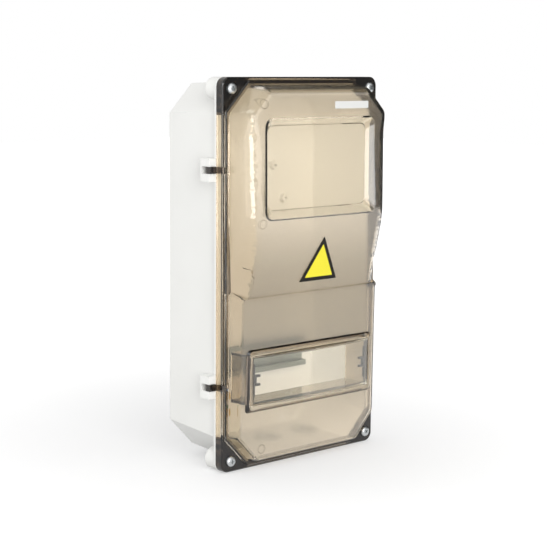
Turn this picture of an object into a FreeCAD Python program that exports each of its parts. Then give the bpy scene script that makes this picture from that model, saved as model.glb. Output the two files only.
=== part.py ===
import FreeCAD, Part
import Sketcher
import math
import os
import re

# Wall box for an electricity meter: white tub, smoked cover on a left-hand hinge, clear hatch.
# Millimetres. X to the right, Z up, the wall face is Y = 0 and the front looks towards -Y.
# A "d" is a distance from the wall towards the front, so Y = -d.

SIZES = {
    # outline shared by the tub's rim and the cover
    "flange_w": 238, "flange_h": 424, "flange_r": 10, "flange_d": 94,
    "screw_in_x": 12.5, "screw_in_z": 12,
    # tub
    "wall": 3, "rim_thick": 3, "upstand": 4.5, "side_lip": 4.5, "end_lip": 4, "tub_cut": 32,
    "side_draft": 3, "top_draft": 3.5, "low_draft": 8,
    "boss_r": 12, "boss_floor": 6, "boss_web": 6, "boss_reach": 10,
    "wall_hole_r": 3.25, "wall_hole_w": 120, "wall_hole_in": 10,
    # cover
    "skirt_gap": 0.3, "skirt_len": 9.7, "plate_thick": 3, "skirt": 2.5, "seat_gap": 1.5,
    "lip": 3, "ledge": 2, "ledge_cut": 33.5, "edge_r": 1.2,
    "dome_wall": 3, "dome_in_x": 6.2, "dome_in_z": 7.7, "dome_cut": 31, "dome_reach": 43,
    "dome_side_in": 10.5, "dome_waist_in": 47, "dome_break_in": 18.5, "dome_top_in": 4.5, "dome_cut_in": 6,
    "dome_r": 11, "core_r": 9, "break_r": 100, "lower_side_in": 18,
    "face_top": 29.5, "face_max": 33, "face_len": 147.3, "slope_drop": 24, "slope_len": 92,
    "lower_start": 69, "lower_top_in": 24, "lower_high": 17.4, "lower_fall": 4.1, "lower_r": 6,
    "window_in": 37.3, "window_h": 89, "window_down": 88.3, "window_deep": 9.5, "window_out": 20,
    "window_reach": 20, "window_r": 12,
    # hatch
    "hatch_up": 100, "pocket_in": 28.5, "pocket_h": 54, "pocket_deep": 6.3,
    "collar_side": 4, "collar_end": 4.25, "collar_rise": 1.4, "collar_foot": 5.8, "collar_out": 5,
    "collar_r": 6,
    "ledge_in": 2.5, "well_deep": 28, "well_wall": 3,
    "pane_gap": 0.3, "pane_seat": 0.1, "pane_thick": 2.2, "pane_bow": 8, "pane_below": 0.5,
    "catch_out": 10, "catch_h": 12, "catch_bar": 2.5, "tongue_h": 36, "tongue_w": 2, "catch_step": 0.2,
    "catch_thick": 3,
    # hinge
    "hinge_out": 5, "hinge_back": 4, "hinge_in": 95.5, "hinge_mid": -2, "strap": 0.8, "strap_len": 8,
    "pin_r": 2, "pin_fit": 0.05, "pin_play": 0.3,
    "lug_h": 25, "lug_side": 4.5, "lug_deep": 10.5, "slot_deep": 8.1,
    "arm_h": 7, "arm_gap": 0.3, "knuckle_r": 4.4, "arm_over": 1.8, "arm_left": 4.3,
    # screws of the cover
    "shank_r": 2.4, "shank_past": 4, "head_r": 6, "head_h": 4, "head_round": 2, "screw_hole_r": 3.2,
    "insert_r": 5, "insert_bore_r": 3, "insert_half": 2.5, "tip_gap": 3.5,
    "ring_r": 5.4, "ring_h": 1.6, "ring_seat": 2, "curve_gap": 0.05,
    "seal_h": 2.3,
    # posts that carry the meter, and the small tapping screws
    "meter_top_x": 40, "meter_low_x": 57, "meter_down": 102, "meter_rise": 39, "meter_post": 6, "post_r": 5,
    "pilot_r": 1.6, "pilot_len": 6, "tap_r": 1.5, "tap_head_r": 3.5, "tap_head_h": 2.2,
    # rail
    "rail_side": 18.5, "rail_h": 35, "rail_web_h": 25, "rail_deep": 7.5, "rail_t": 1, "rail_post": 1.5,
    "rail_fix_in": 20, "rail_tap": 3.4, "rail_slot_r": 2.2,
    # terminal bars
    "bar_from_side": 9.5, "bar_side": 8, "bar_end": 7, "bar_pitch": 10, "bar_screw_r": 2.4, "bar_screw_h": 2,
    "carrier_end": 4, "carrier_edge": 2, "carrier_h": 12, "rail_to_bar": 12.5, "bar_to_bar": 7,
    # cable entries
    "entry_side": 3.5, "entry_d": 40, "entry_r": 13, "cable_r": 9,
    "grommet_lip": 3, "grommet_lip_t": 2, "grommet_slack": 0.3,
    # plates stuck on the cover
    "sign_side": 58, "sticker_t": 0.5, "sign_x": 6, "sign_down": 51,
    "label_w": 53, "label_h": 8, "label_x": 46, "label_down": 22.3,
}

# Sizes and places that follow from the ones above
FOLLOWS = {
    "screw_w": "flange_w - 2 * screw_in_x", "screw_h": "flange_h - 2 * screw_in_z",
    "rim_d": "flange_d - skirt_len - skirt_gap", "upstand_d": "rim_d + upstand",
    "tub_front_w": "flange_w - 2 * side_lip", "tub_back_w": "tub_front_w - 2 * side_draft",
    "tub_front_top": "flange_h / 2 - end_lip", "tub_back_top": "tub_front_top - top_draft",
    "tub_front_low": "flange_h / 2 - end_lip", "tub_back_low": "tub_front_low - low_draft",
    "dome_w": "flange_w - 2 * dome_in_x", "dome_top": "flange_h / 2 - dome_in_z",
    "wall_hole_h": "2 * (tub_back_low - wall_hole_in)",
    "break_z": "dome_top - face_len", "upper_low": "slope_len - break_z",
    "lower_top": "lower_start - break_z",
    "window_d": "flange_d + face_max - window_deep", "window_w": "dome_w - 2 * window_in",
    "window_z": "dome_top - window_down", "label_z": "dome_top - label_down",
    "sign_z": "break_z - sign_down",
    "hatch_z": "hatch_up - flange_h / 2", "pocket_w": "flange_w - 2 * pocket_in",
    "collar_w": "pocket_w + 2 * collar_side", "collar_h": "pocket_h + 2 * collar_end",
    "collar_d": "flange_d + lower_high + collar_rise", "collar_foot_d": "collar_d - collar_foot",
    "pocket_d": "collar_d - pocket_deep", "well_d": "pocket_d - well_deep",
    "pane_side_d": "collar_d - pane_below", "catch_d": "pocket_d + pane_seat + catch_step",
    "hinge_x": "0 - flange_w / 2 - hinge_out", "hinge_d": "rim_d - hinge_back",
    "hinge_z": "flange_h / 2 - hinge_in",
    "lug_x": "hinge_x - lug_side", "lug_root_x": "wall / 2 - tub_front_w / 2",
    "lug_back_d": "hinge_d - lug_deep", "slot_back_d": "hinge_d - slot_deep",
    "slot_x": "0 - flange_w / 2 - skirt_gap", "arm_front_d": "rim_d + arm_over",
    "strap_x": "strap_len - flange_w / 2",
    "shank_end_d": "hinge_d - shank_past", "tip_d": "shank_end_d - tip_gap",
    "boss_back_d": "tip_d - boss_floor",
    "meter_top_z": "flange_h / 2 - meter_down", "meter_low_z": "meter_top_z - meter_rise",
    "rail_len": "tub_back_w - 2 * wall - 2 * rail_side", "rail_fix_w": "rail_len - 2 * rail_fix_in",
    "bar_len": "4 * bar_pitch + 2 * bar_end", "carrier_len": "bar_len + 2 * carrier_end",
    "carrier_side": "bar_side + 2 * carrier_edge",
    "bar_x": "wall + bar_from_side + carrier_len / 2 - tub_back_w / 2",
    "neutral_z": "hatch_z - rail_h / 2 - carrier_side / 2 - rail_to_bar",
    "earth_z": "neutral_z - carrier_side - bar_to_bar",
    "entry_pitch": "tub_back_w / 2 - tub_cut - entry_r - grommet_lip - entry_side",
}

doc = FreeCAD.newDocument("meter_box")
sheet = doc.addObject("Spreadsheet::Sheet", "Sizes")
for row, (alias, value) in enumerate(SIZES.items(), start=1):
    sheet.set(f"A{row}", alias)
    sheet.set(f"B{row}", str(value))
    sheet.setAlias(f"B{row}", alias)
doc.recompute()


def bound(text):
    """A formula in plain size names, written as the sheet's own expression."""
    def cell(match):
        name = match[0]
        if name in FOLLOWS:
            return f"({bound(FOLLOWS[name])})"
        return "Sizes." + name if name in SIZES else name
    return re.sub(r"[a-z][a-z_]*", cell, str(text))


def size(text):
    value = sheet.evalExpression(bound(text))
    return float(getattr(value, "Value", value))


def new_body(name):
    body = doc.addObject("PartDesign::Body", name)
    body.Label = name
    body.AllowCompound = True
    return body


def sketch(body, name, role, offset):
    """A sketch on one of the body's own planes. On XZ_Plane the offset is a d."""
    sk = body.newObject("Sketcher::SketchObject", name)
    plane = next(f for f in body.Origin.OriginFeatures if f.Role == role)
    sk.AttachmentSupport = [(plane, "")]
    sk.MapMode = "FlatFace"
    sk.setExpression("AttachmentOffset.Base.z", bound(offset))
    return sk


def pin_point(sk, geo, pos, x, y):
    for kind, text in (("DistanceX", x), ("DistanceY", y)):
        index = sk.addConstraint(Sketcher.Constraint(kind, -1, 1, geo, pos, size(text)))
        sk.setExpression(f"Constraints[{index}]", bound(text))


def polygon(sk, points):
    first, count = sk.GeometryCount, len(points)
    spots = [FreeCAD.Vector(size(x), size(y), 0) for x, y in points]
    for i in range(count):
        sk.addGeometry(Part.LineSegment(spots[i], spots[(i + 1) % count]))
    for i in range(count):
        sk.addConstraint(Sketcher.Constraint("Coincident", first + i, 2, first + (i + 1) % count, 1))
    for i, (x, y) in enumerate(points):
        pin_point(sk, first + i, 1, x, y)


def circle(sk, x, y, radius):
    centre = FreeCAD.Vector(size(x), size(y), 0)
    geo = sk.addGeometry(Part.Circle(centre, FreeCAD.Vector(0, 0, 1), size(radius)))
    pin_point(sk, geo, 3, x, y)
    index = sk.addConstraint(Sketcher.Constraint("Radius", geo, size(radius)))
    sk.setExpression(f"Constraints[{index}]", bound(radius))


def dodecagon(sk, x, y, radius):
    """Twelve-sided stand for a small circle, for the many small round pieces inside."""
    turns = [(math.cos(math.radians(30 * n)), math.sin(math.radians(30 * n))) for n in range(12)]
    polygon(sk, [(f"{x} + {c:.6f} * ({radius})", f"{y} + {s:.6f} * ({radius})") for c, s in turns])


def box_points(half_w, half_h, x="0", y="0"):
    return [(f"{x} + {sx} * ({half_w})", f"{y} + {sy} * ({half_h})")
            for sx, sy in ((1, -1), (1, 1), (-1, 1), (-1, -1))]


def octagon(half_w, top, low, cut):
    w, t, b, c = (f"({v})" for v in (half_w, top, low, cut))
    right = [(w, f"{c} - {b}"), (w, f"{t} - {c}"), (f"{w} - {c}", t)]
    left = [(f"{c} - {w}", t), (f"0 - {w}", f"{t} - {c}"), (f"0 - {w}", f"{c} - {b}")]
    return right + left + [(f"{c} - {w}", f"0 - {b}"), (f"{w} - {c}", f"0 - {b}")]


def pad(body, name, role, low, high, draw, kind="PartDesign::Pad"):
    """Pad (or pocket) of what draw() puts in a sketch at one end, up to the other end."""
    start = low if kind.endswith("Pad") else high
    sk = sketch(body, name + "_sketch", role, start)
    draw(sk)
    feature = body.newObject(kind, name)
    feature.Profile = sk
    feature.setExpression("Length", bound(f"({high}) - ({low})"))
    body.Tip = feature
    return feature


def pocket(body, name, role, low, high, draw):
    return pad(body, name, role, low, high, draw, "PartDesign::Pocket")


def loft(body, name, near_d, near, far_d, far, cut=False):
    """Straight-sided loft between two outlines at two distances from the wall."""
    ends = []
    for tag, d, points in (("near", near_d, near), ("far", far_d, far)):
        sk = sketch(body, f"{name}_{tag}", "XZ_Plane", d)
        polygon(sk, points)
        ends.append(sk)
    feature = body.newObject("PartDesign::SubtractiveLoft" if cut else "PartDesign::AdditiveLoft", name)
    feature.Profile = ends[0]
    feature.Sections = [ends[1]]
    feature.Ruled = True
    body.Tip = feature
    return feature


def fillet(body, name, radius, test, kind="PartDesign::Fillet"):
    """Rounds or bevels the edges whose list of end points passes the test."""
    doc.recompute()
    last = body.Tip
    picked = [f"Edge{i}" for i, e in enumerate(last.Shape.Edges, start=1)
              if test([v.Point for v in e.Vertexes])]
    feature = body.newObject(kind, name)
    feature.Base = (last, picked)
    feature.setExpression("Radius" if kind.endswith("Fillet") else "Size", bound(radius))
    body.Tip = feature


def at_d(point, d):
    return abs(point.y + size(d)) < 1e-4


def long_edges(body, name, radius, low_d, high_d):
    """Rounds the edges that run from one end plane of a pad or loft to the other."""
    def spans(ends):
        return any(at_d(p, low_d) for p in ends) and any(at_d(p, high_d) for p in ends)
    fillet(body, name, radius, spans)


def front_edges(body, name, step, d):
    """Bevels the edges that lie in one plane."""
    fillet(body, name, step, lambda ends: all(at_d(p, d) for p in ends), "PartDesign::Chamfer")


def combine(kind, name, shapes):
    """Fuse or common of several objects, or the first cut by the rest."""
    if kind == "Cut":
        tool = shapes[1] if len(shapes) == 2 else combine("MultiFuse", name + "_tools", shapes[1:])
        result = doc.addObject("Part::Cut", name)
        result.Base, result.Tool = shapes[0], tool
    else:
        result = doc.addObject("Part::" + kind, name)
        result.Shapes = shapes
    result.Label = name
    return result


def primitive(kind, name, sizes, place, turn=None):
    """Part primitive with its sizes and place bound to the sheet; turn is (axis, degrees formula)."""
    thing = doc.addObject("Part::" + kind, name)
    thing.Label = name
    if turn:
        axis, angle = turn
        thing.Placement = FreeCAD.Placement(FreeCAD.Vector(), FreeCAD.Rotation(FreeCAD.Vector(*axis), 1))
        thing.setExpression("Placement.Rotation.Angle", bound(angle))
    for key, text in sizes.items():
        thing.setExpression(key, bound(text))
    for key, text in zip("xyz", place):
        thing.setExpression("Placement.Base." + key, bound(text))
    return thing


CORNERS = [(sx, sz) for sx in (-1, 1) for sz in (-1, 1)]
FRONT = "XZ_Plane"


def at_corners(width, height, radius, shape=circle):
    """Draws one round shape at each corner of a centred rectangle."""
    def draw(sk):
        for sx, sz in CORNERS:
            shape(sk, f"{sx} * {width} / 2", f"{sz} * {height} / 2", radius)
    return draw


def outline(points):
    return lambda sk: polygon(sk, points)


def chamfer_in(cut, step):
    """Corner cut of an outline moved inward by a step, so that the slanted walls stay as thick."""
    return f"({cut}) - ({step}) * (2 - sqrt(2))"


# The tub: drafted octagon with a rim flange, screw bosses, hinge lugs and posts, hollowed last
base = new_body("base")
loft(base, "tub", "0", octagon("tub_back_w / 2", "tub_back_top", "tub_back_low", "tub_cut"),
     "upstand_d", octagon("tub_front_w / 2", "tub_front_top", "tub_front_low", "tub_cut"))
pad(base, "rim", FRONT, "rim_d - rim_thick", "rim_d", outline(box_points("flange_w / 2", "flange_h / 2")))
long_edges(base, "rim_corners", "flange_r", "rim_d - rim_thick", "rim_d")
pad(base, "bosses", FRONT, "boss_back_d", "rim_d - rim_thick / 2",
    at_corners("screw_w", "screw_h", "boss_r"))
for n, (sx, sz) in enumerate(CORNERS):
    web = []
    for along, across in ((0, 1), (0, -1), (1, -1), (1, 1)):
        x = f"{sx} * (screw_w / 2 - {along} * boss_reach - {across} * boss_web)"
        z = f"{sz} * (screw_h / 2 - {along} * boss_reach + {across} * boss_web)"
        web.append((x, z))
    pad(base, f"boss_web_{n}", FRONT, "boss_back_d", "rim_d - rim_thick / 2", outline(web))
for side in (-1, 1):
    pad(base, f"lug_{'low' if side < 0 else 'top'}", "XY_Plane",
        f"hinge_mid + {side} * hinge_z - lug_h / 2", f"hinge_mid + {side} * hinge_z + lug_h / 2",
        outline([("lug_x", "0 - rim_d"), ("lug_root_x", "0 - rim_d"),
                 ("lug_root_x", "0 - lug_back_d"), ("lug_x", "0 - lug_back_d")]))
loft(base, "hollow", "wall", octagon("tub_back_w / 2 - wall", "tub_back_top - wall", "tub_back_low - wall",
                                     chamfer_in("tub_cut", "wall")),
     "upstand_d", octagon("tub_front_w / 2 - wall", "tub_front_top - wall", "tub_front_low - wall",
                          chamfer_in("tub_cut", "wall")), cut=True)
for side in (-1, 1):
    tag = "low" if side < 0 else "top"
    half = "(arm_h / 2 + arm_gap)"
    mid = f"hinge_mid + {side} * hinge_z"
    pocket(base, f"slot_{tag}", "XY_Plane", f"{mid} - {half}", f"{mid} + {half}",
           outline([("lug_x - 1", "0 - rim_d - 1"), ("slot_x", "0 - rim_d - 1"),
                    ("slot_x", "0 - slot_back_d"), ("lug_x - 1", "0 - slot_back_d")]))
    pocket(base, f"pin_hole_{tag}", "XY_Plane", f"{mid} - lug_h / 2", f"{mid} + lug_h / 2",
           lambda sk: circle(sk, "hinge_x", "0 - hinge_d", "pin_r + pin_fit"))
pocket(base, "insert_seats", FRONT, "tip_d", "rim_d",
       at_corners("screw_w", "screw_h", "insert_r + curve_gap"))
pocket(base, "wall_holes", FRONT, "0", "wall", at_corners("wall_hole_w", "wall_hole_h", "wall_hole_r"))


def meter_spots(radius):
    def draw(sk):
        for side in (-1, 1):
            for row in ("top", "low"):
                circle(sk, f"{side} * meter_{row}_x", f"meter_{row}_z", radius)
    return draw


def rail_spots(radius):
    def draw(sk):
        for side in (-1, 1):
            circle(sk, f"{side} * rail_fix_w / 2", "hatch_z", radius)
    return draw


pad(base, "meter_posts", FRONT, "wall / 2", "wall + meter_post", meter_spots("post_r"))
pocket(base, "meter_pilots", FRONT, "wall + meter_post - pilot_len", "wall + meter_post",
       meter_spots("pilot_r"))
pad(base, "rail_posts", FRONT, "wall / 2", "wall + rail_post", rail_spots("post_r"))
pocket(base, "rail_pilots", FRONT, "wall + rail_post + rail_t - rail_tap - rail_t / 2", "wall + rail_post",
       rail_spots("pilot_r"))
doc.recompute()

# Cable entries go straight through the sloping bottom wall, square to it
ENTRY_TILT = "atan((tub_front_low - tub_back_low) / upstand_d)"
ENTRY_LOW = "0 - tub_back_low - (tub_front_low - tub_back_low) * entry_d / upstand_d"
base.Label = "base_blank"


def at_entry(name, radius, below, height):
    """Cylinders square to the bottom wall, one per cable entry, from a step below its outer face."""
    made = []
    for n in (-1, 0, 1):
        made.append(primitive(
            "Cylinder", f"{name}_{n + 1}", {"Radius": radius, "Height": height},
            (f"{n} * entry_pitch", f"0 - entry_d + ({below}) * sin({ENTRY_TILT})",
             f"{ENTRY_LOW} - ({below}) * cos({ENTRY_TILT})"), ((1, 0, 0), ENTRY_TILT)))
    return made


nodes = {}
nodes["base"] = combine("Cut", "base", [base] + at_entry("entry", "entry_r", "wall", "wall * 4"))
GROMMET_LIP = "entry_r + grommet_lip"
grommet = at_entry("ring", "entry_r - curve_gap", "grommet_lip_t",
                   "wall + grommet_slack + 2 * grommet_lip_t")
grommet += at_entry("lip_out", GROMMET_LIP, "grommet_lip_t", "grommet_lip_t")
grommet += at_entry("lip_in", GROMMET_LIP, "0 - wall - grommet_slack", "grommet_lip_t")
nodes["cable_grommets"] = combine("Cut", "cable_grommets", [combine("MultiFuse", "grommet_blank", grommet)]
                                  + at_entry("cable_hole", "cable_r", "wall * 2", "wall * 6"))

# Rubber cord on the front edge of the tub
seal = new_body("seal_cord")
pad(seal, "cord", FRONT, "upstand_d", "upstand_d + seal_h",
    outline(octagon("tub_front_w / 2", "tub_front_top", "tub_front_low", "tub_cut")))
pocket(seal, "inside", FRONT, "upstand_d", "upstand_d + seal_h",
       outline(octagon("tub_front_w / 2 - wall", "tub_front_top - wall", "tub_front_low - wall",
                       chamfer_in("tub_cut", "wall"))))
nodes["seal_cord"] = seal

# Brass inserts, level with the hinge axis, so that the tight screws clear them when the cover swings
insert = new_body("screw_inserts")
pad(insert, "bush", FRONT, "hinge_d - insert_half", "hinge_d + insert_half",
    at_corners("screw_w", "screw_h", "insert_r", dodecagon))
pocket(insert, "bore", FRONT, "hinge_d - insert_half", "hinge_d + insert_half",
       at_corners("screw_w", "screw_h", "insert_bore_r"))
nodes["screw_inserts"] = insert

nodes["hinge_pins"] = combine("MultiFuse", "hinge_pins", [
    primitive("Cylinder", f"pin_{n}", {"Radius": "pin_r", "Height": "lug_h - 2 * pin_play"},
              ("hinge_x", "0 - hinge_d", f"hinge_mid + {side} * hinge_z - lug_h / 2 + pin_play"))
    for n, side in enumerate((-1, 1))])

# Hat rail: web on its posts, both flanges level at the front
rail = new_body("din_rail")
RAIL_D = "wall + rail_post"


def rail_profile(sk):
    """Hat section drawn in the YZ plane, front side and then back side."""
    back, front = f"0 - ({RAIL_D})", f"0 - ({RAIL_D} + rail_deep)"
    web_out, web_in = "rail_web_h / 2", "rail_web_h / 2 - rail_t"
    upper = [(back, web_out), (f"{front} + rail_t", web_out), (f"{front} + rail_t", "rail_h / 2"),
             (front, "rail_h / 2"), (front, web_in), (f"{back} - rail_t", web_in)]
    lower = [(y, f"0 - ({z})") for y, z in reversed(upper)]
    polygon(sk, [(y, f"hatch_z + {z}") for y, z in upper + lower])


pad(rail, "hat", "YZ_Plane", "0 - rail_len / 2", "rail_len / 2", rail_profile)
pocket(rail, "fixings", FRONT, RAIL_D, RAIL_D + " + rail_t", rail_spots("rail_slot_r"))
nodes["din_rail"] = rail


def rail_heads(radius):
    def draw(sk):
        for side in (-1, 1):
            dodecagon(sk, f"{side} * rail_fix_w / 2", "hatch_z", radius)
    return draw


tapping = new_body("rail_screws")
RAIL_SEAT = RAIL_D + " + rail_t"
pad(tapping, "shanks", FRONT, f"{RAIL_SEAT} - rail_tap", RAIL_SEAT, rail_heads("tap_r"))
pad(tapping, "heads", FRONT, RAIL_SEAT, f"{RAIL_SEAT} + tap_head_h", rail_heads("tap_head_r"))
nodes["rail_screws"] = tapping


# Terminal bars on insulating carriers
def terminal(tag, z):
    carrier = new_body(tag + "_carrier")
    pad(carrier, "block", FRONT, "wall", "wall + carrier_h",
        outline(box_points("carrier_len / 2", "carrier_side / 2", "bar_x", z)))
    nodes[tag + "_carrier"] = carrier
    bar = new_body(tag + "_bar")
    pad(bar, "stick", FRONT, "wall + carrier_h", "wall + carrier_h + bar_side",
        outline(box_points("bar_len / 2", "bar_side / 2", "bar_x", z)))
    nodes[tag + "_bar"] = bar
    screws = new_body(tag + "_screws")

    def heads(sk):
        for n in (-2, -1, 0, 1, 2):
            dodecagon(sk, f"bar_x + {n} * bar_pitch", z, "bar_screw_r")
    face_d = "wall + carrier_h + bar_side"
    pad(screws, "heads", FRONT, face_d, face_d + " + bar_screw_h", heads)
    nodes[tag + "_screws"] = screws


terminal("neutral", "neutral_z")
terminal("earth", "earth_z")

# Cover: flange slab with solid corner blocks and a raised octagonal ledge
SKIRT_D = "rim_d + skirt_gap"
PLATE_BACK = "flange_d - plate_thick"
slab = new_body("slab")
pad(slab, "plate", FRONT, SKIRT_D, "flange_d", outline(box_points("flange_w / 2", "flange_h / 2")))
long_edges(slab, "plate_corners", "flange_r", SKIRT_D, "flange_d")
front_edges(slab, "plate_edge", "edge_r", "flange_d")
SEAT_CUT = ("flange_w / 2 + flange_h / 2 - 2 * skirt"
            " - (tub_front_w / 2 + tub_front_top - tub_cut) - seat_gap * sqrt(2)")
pocket(slab, "seat", FRONT, SKIRT_D, PLATE_BACK,
       outline(octagon("flange_w / 2 - skirt", "flange_h / 2 - skirt", "flange_h / 2 - skirt", SEAT_CUT)))
pad(slab, "ledge", FRONT, "flange_d", "flange_d + ledge",
    outline(octagon("flange_w / 2 - lip", "flange_h / 2 - lip", "flange_h / 2 - lip", "ledge_cut")))
front_edges(slab, "ledge_edge", "edge_r", "flange_d + ledge")


# Domes: the upper one with the tilted face and the slope, the lower one with its own shoulder
FAR_D = PLATE_BACK + " + dome_reach"
CLEAR_Y = "0 - flange_d - dome_reach - dome_r"


def dome_ring(step, rise, upper):
    """Outline of a dome at a height above the flange plate, moved inward by a step."""
    def half(draft):
        lean = f"({draft} / dome_reach)"
        return f"(dome_w / 2 - {step} * sqrt(1 + {lean} ^ 2) - {lean} * {rise})"
    t = f"(dome_top - {step} - dome_top_in / dome_reach * {rise})"
    c = f"({chamfer_in('dome_cut', step)} - dome_cut_in / dome_reach * {rise})"
    if upper:
        w = half("dome_side_in")
        right = [(half("dome_waist_in"), f"{step} - upper_low"), (half("dome_break_in"), "break_z"),
                 (w, f"{t} - {c}"), (f"{w} - {c}", t)]
    else:
        w = half("lower_side_in")
        right = [(f"{w} - {c}", f"0 - {t}"), (w, f"{c} - {t}"),
                 (w, f"0 - lower_top - {step} - lower_top_in / dome_reach * {rise}")]
    return right + [(f"0 - ({x})", z) for x, z in reversed(right)]


def dome(name, step, drop, upper, radius, front):
    """Drafted block whose front is cut back to the line given by front, then rounded."""
    body = new_body(name)
    start_d = f"{PLATE_BACK} - {drop}"
    loft(body, "block", start_d, dome_ring(step, f"(0 - {drop})", upper),
         FAR_D, dome_ring(step, "dome_reach", upper))
    ends = [(CLEAR_Y, front[0][1])] + front + [(CLEAR_Y, front[-1][1])]
    pocket(body, "face", "YZ_Plane", "0 - flange_w", "flange_w", outline(ends))
    floor, cut_off = size(start_d), size(f"{step} - upper_low")
    peak_d, peak_z = size(f"flange_d + face_max - {step}"), size("break_z")
    if upper:
        fillet(body, "soft_break", f"break_r - {step}",
               lambda ends: all(abs(p.y + peak_d) + abs(p.z - peak_z) < 1e-3 for p in ends))

    def rim_of_face(points):
        """Edges round the front, but not the foot, the cut-off end or the joints of the soft break."""
        high = any(-p.y > floor + 1 for p in points)
        if not upper:
            return high
        a, b = points[0], points[-1]
        across = abs(a.z - b.z) < 1e-3 and (abs(a.x + b.x) < 1e-3 or abs(a.z - peak_z) < 1e-3)
        kept = any(abs(p.z - cut_off) > 1 for p in points)
        return high and kept and not (across and a.z < size("window_z"))
    fillet(body, "soft", radius, rim_of_face)
    return body


def upper_front(step):
    peak = f"0 - (flange_d + face_max - {step})"
    top = f"{peak} + (face_max - face_top) * (flange_h / 2 - break_z) / (dome_top - break_z)"
    low = f"{peak} + slope_drop * (flange_h / 2 + break_z) / (break_z + upper_low)"
    return [(top, "flange_h / 2"), (peak, "break_z"), (low, "0 - flange_h / 2")]


def lower_front(step):
    """Face line that falls towards the bottom edge, drawn well past both ends of the dome."""
    ends = [f"{side} * flange_h / 2" for side in (1, -1)]
    return [(f"0 - (flange_d + lower_high - {step}) - lower_fall * ({z}) / dome_top", z) for z in ends]


upper = dome("upper_dome", "0", "0", True, "dome_r", upper_front("0"))
lower = dome("lower_dome", "0", "0", False, "lower_r", lower_front("0"))
upper_core = dome("upper_core", "dome_wall", "1", True, "core_r", upper_front("dome_wall"))
lower_core = dome("lower_core", "dome_wall", "1", False, "lower_r - dome_wall", lower_front("dome_wall"))


# Meter window: a pan pressed into the upper face, its block trimmed by the dome
def window_pan(name, step):
    body = new_body(name)
    near_d, far_d = f"window_d - {step}", "window_d + window_reach"
    rings = [box_points(f"window_w / 2 + {out}", f"window_h / 2 + {out}", y="window_z")
             for out in (step, f"{step} + window_out")]
    loft(body, "pan", near_d, rings[0], far_d, rings[1])
    long_edges(body, "corners", f"window_r + {step}", near_d, far_d)
    return body


# Hatch collar with a pocket for the pane, and the well behind it that is open to the breakers
def block(name, half_w, half_h, low_d, high_d, radius=None):
    body = new_body(name)
    pad(body, "block", FRONT, low_d, high_d, outline(box_points(half_w, half_h, y="hatch_z")))
    if radius:
        long_edges(body, "corners", radius, low_d, high_d)
    return body


collar = new_body("collar")
foot, top = [box_points(f"collar_w / 2 + {out}", f"collar_h / 2 + {out}", y="hatch_z")
             for out in ("collar_out", "0")]
loft(collar, "frame", "collar_foot_d", foot, "collar_d", top)
long_edges(collar, "corners", "collar_r", "collar_foot_d", "collar_d")
front_edges(collar, "rim", "edge_r", "collar_d")
WELL_W, WELL_H = "pocket_w / 2 - ledge_in", "pocket_h / 2 - ledge_in"
well = block("well", f"{WELL_W} + well_wall", f"{WELL_H} + well_wall", "well_d", "pocket_d + 1")
pane_room = block("pane_room", "pocket_w / 2", "pocket_h / 2", "pocket_d", "collar_d + dome_wall")
well_room = block("well_room", WELL_W, WELL_H, "well_d - 1", "pocket_d + 1")

# Hinge arms: a knuckle round each pin and a bridge to the skirt
arms = new_body("arms")
for side in (-1, 1):
    tag = "low" if side < 0 else "top"
    span = (f"hinge_mid + {side} * hinge_z - arm_h / 2", f"hinge_mid + {side} * hinge_z + arm_h / 2")
    left, gap_x = "hinge_x - arm_left", "0 - flange_w / 2 - 2 * skirt_gap"
    root_x = "skirt / 2 - flange_w / 2"
    edge_x, front_d = "0 - flange_w / 2 - strap", "flange_d + ledge + strap"
    pad(arms, f"bridge_{tag}", "XY_Plane", *span,
        outline([(left, "0 - hinge_d"), (gap_x, "0 - hinge_d"), (gap_x, f"0 - ({SKIRT_D})"),
                 (root_x, f"0 - ({SKIRT_D})"), (root_x, "plate_thick / 2 - flange_d"),
                 ("strap_x", "plate_thick / 2 - flange_d"), ("strap_x", f"0 - ({front_d})"),
                 (edge_x, f"0 - ({front_d})"), (edge_x, "0 - arm_front_d"), (left, "0 - arm_front_d")]))
    pad(arms, f"knuckle_{tag}", "XY_Plane", *span,
        lambda sk: circle(sk, "hinge_x", "0 - hinge_d", "knuckle_r"))
pin_room = [primitive("Cylinder", f"pin_room_{n}", {"Radius": "pin_r + pin_play", "Height": "lug_h"},
                      ("hinge_x", "0 - hinge_d", f"hinge_mid + {side} * hinge_z - lug_h / 2"))
            for n, side in enumerate((-1, 1))]
screw_room = new_body("screw_room")
pad(screw_room, "holes", FRONT, f"{SKIRT_D} - 1", "flange_d + 1",
    at_corners("screw_w", "screw_h", "screw_hole_r"))
pad(screw_room, "ring_seats", FRONT, f"{SKIRT_D} - 1", f"{SKIRT_D} + ring_seat",
    at_corners("screw_w", "screw_h", "ring_r + 2 * pin_play"))
doc.recompute()

shell = combine("Cut", "shell", [combine("MultiFuse", "solid_front", [slab, upper, lower, collar]),
                                 upper_core, lower_core])
pan = combine("MultiCommon", "pan_trim", [window_pan("pan_block", "dome_wall"), upper])
joined = combine("MultiFuse", "joined", [shell, pan, well, arms])
rooms = [window_pan("window_cut", "0"), pane_room, well_room, screw_room] + pin_room
nodes["cover"] = combine("Cut", "cover", [joined] + rooms)

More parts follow.
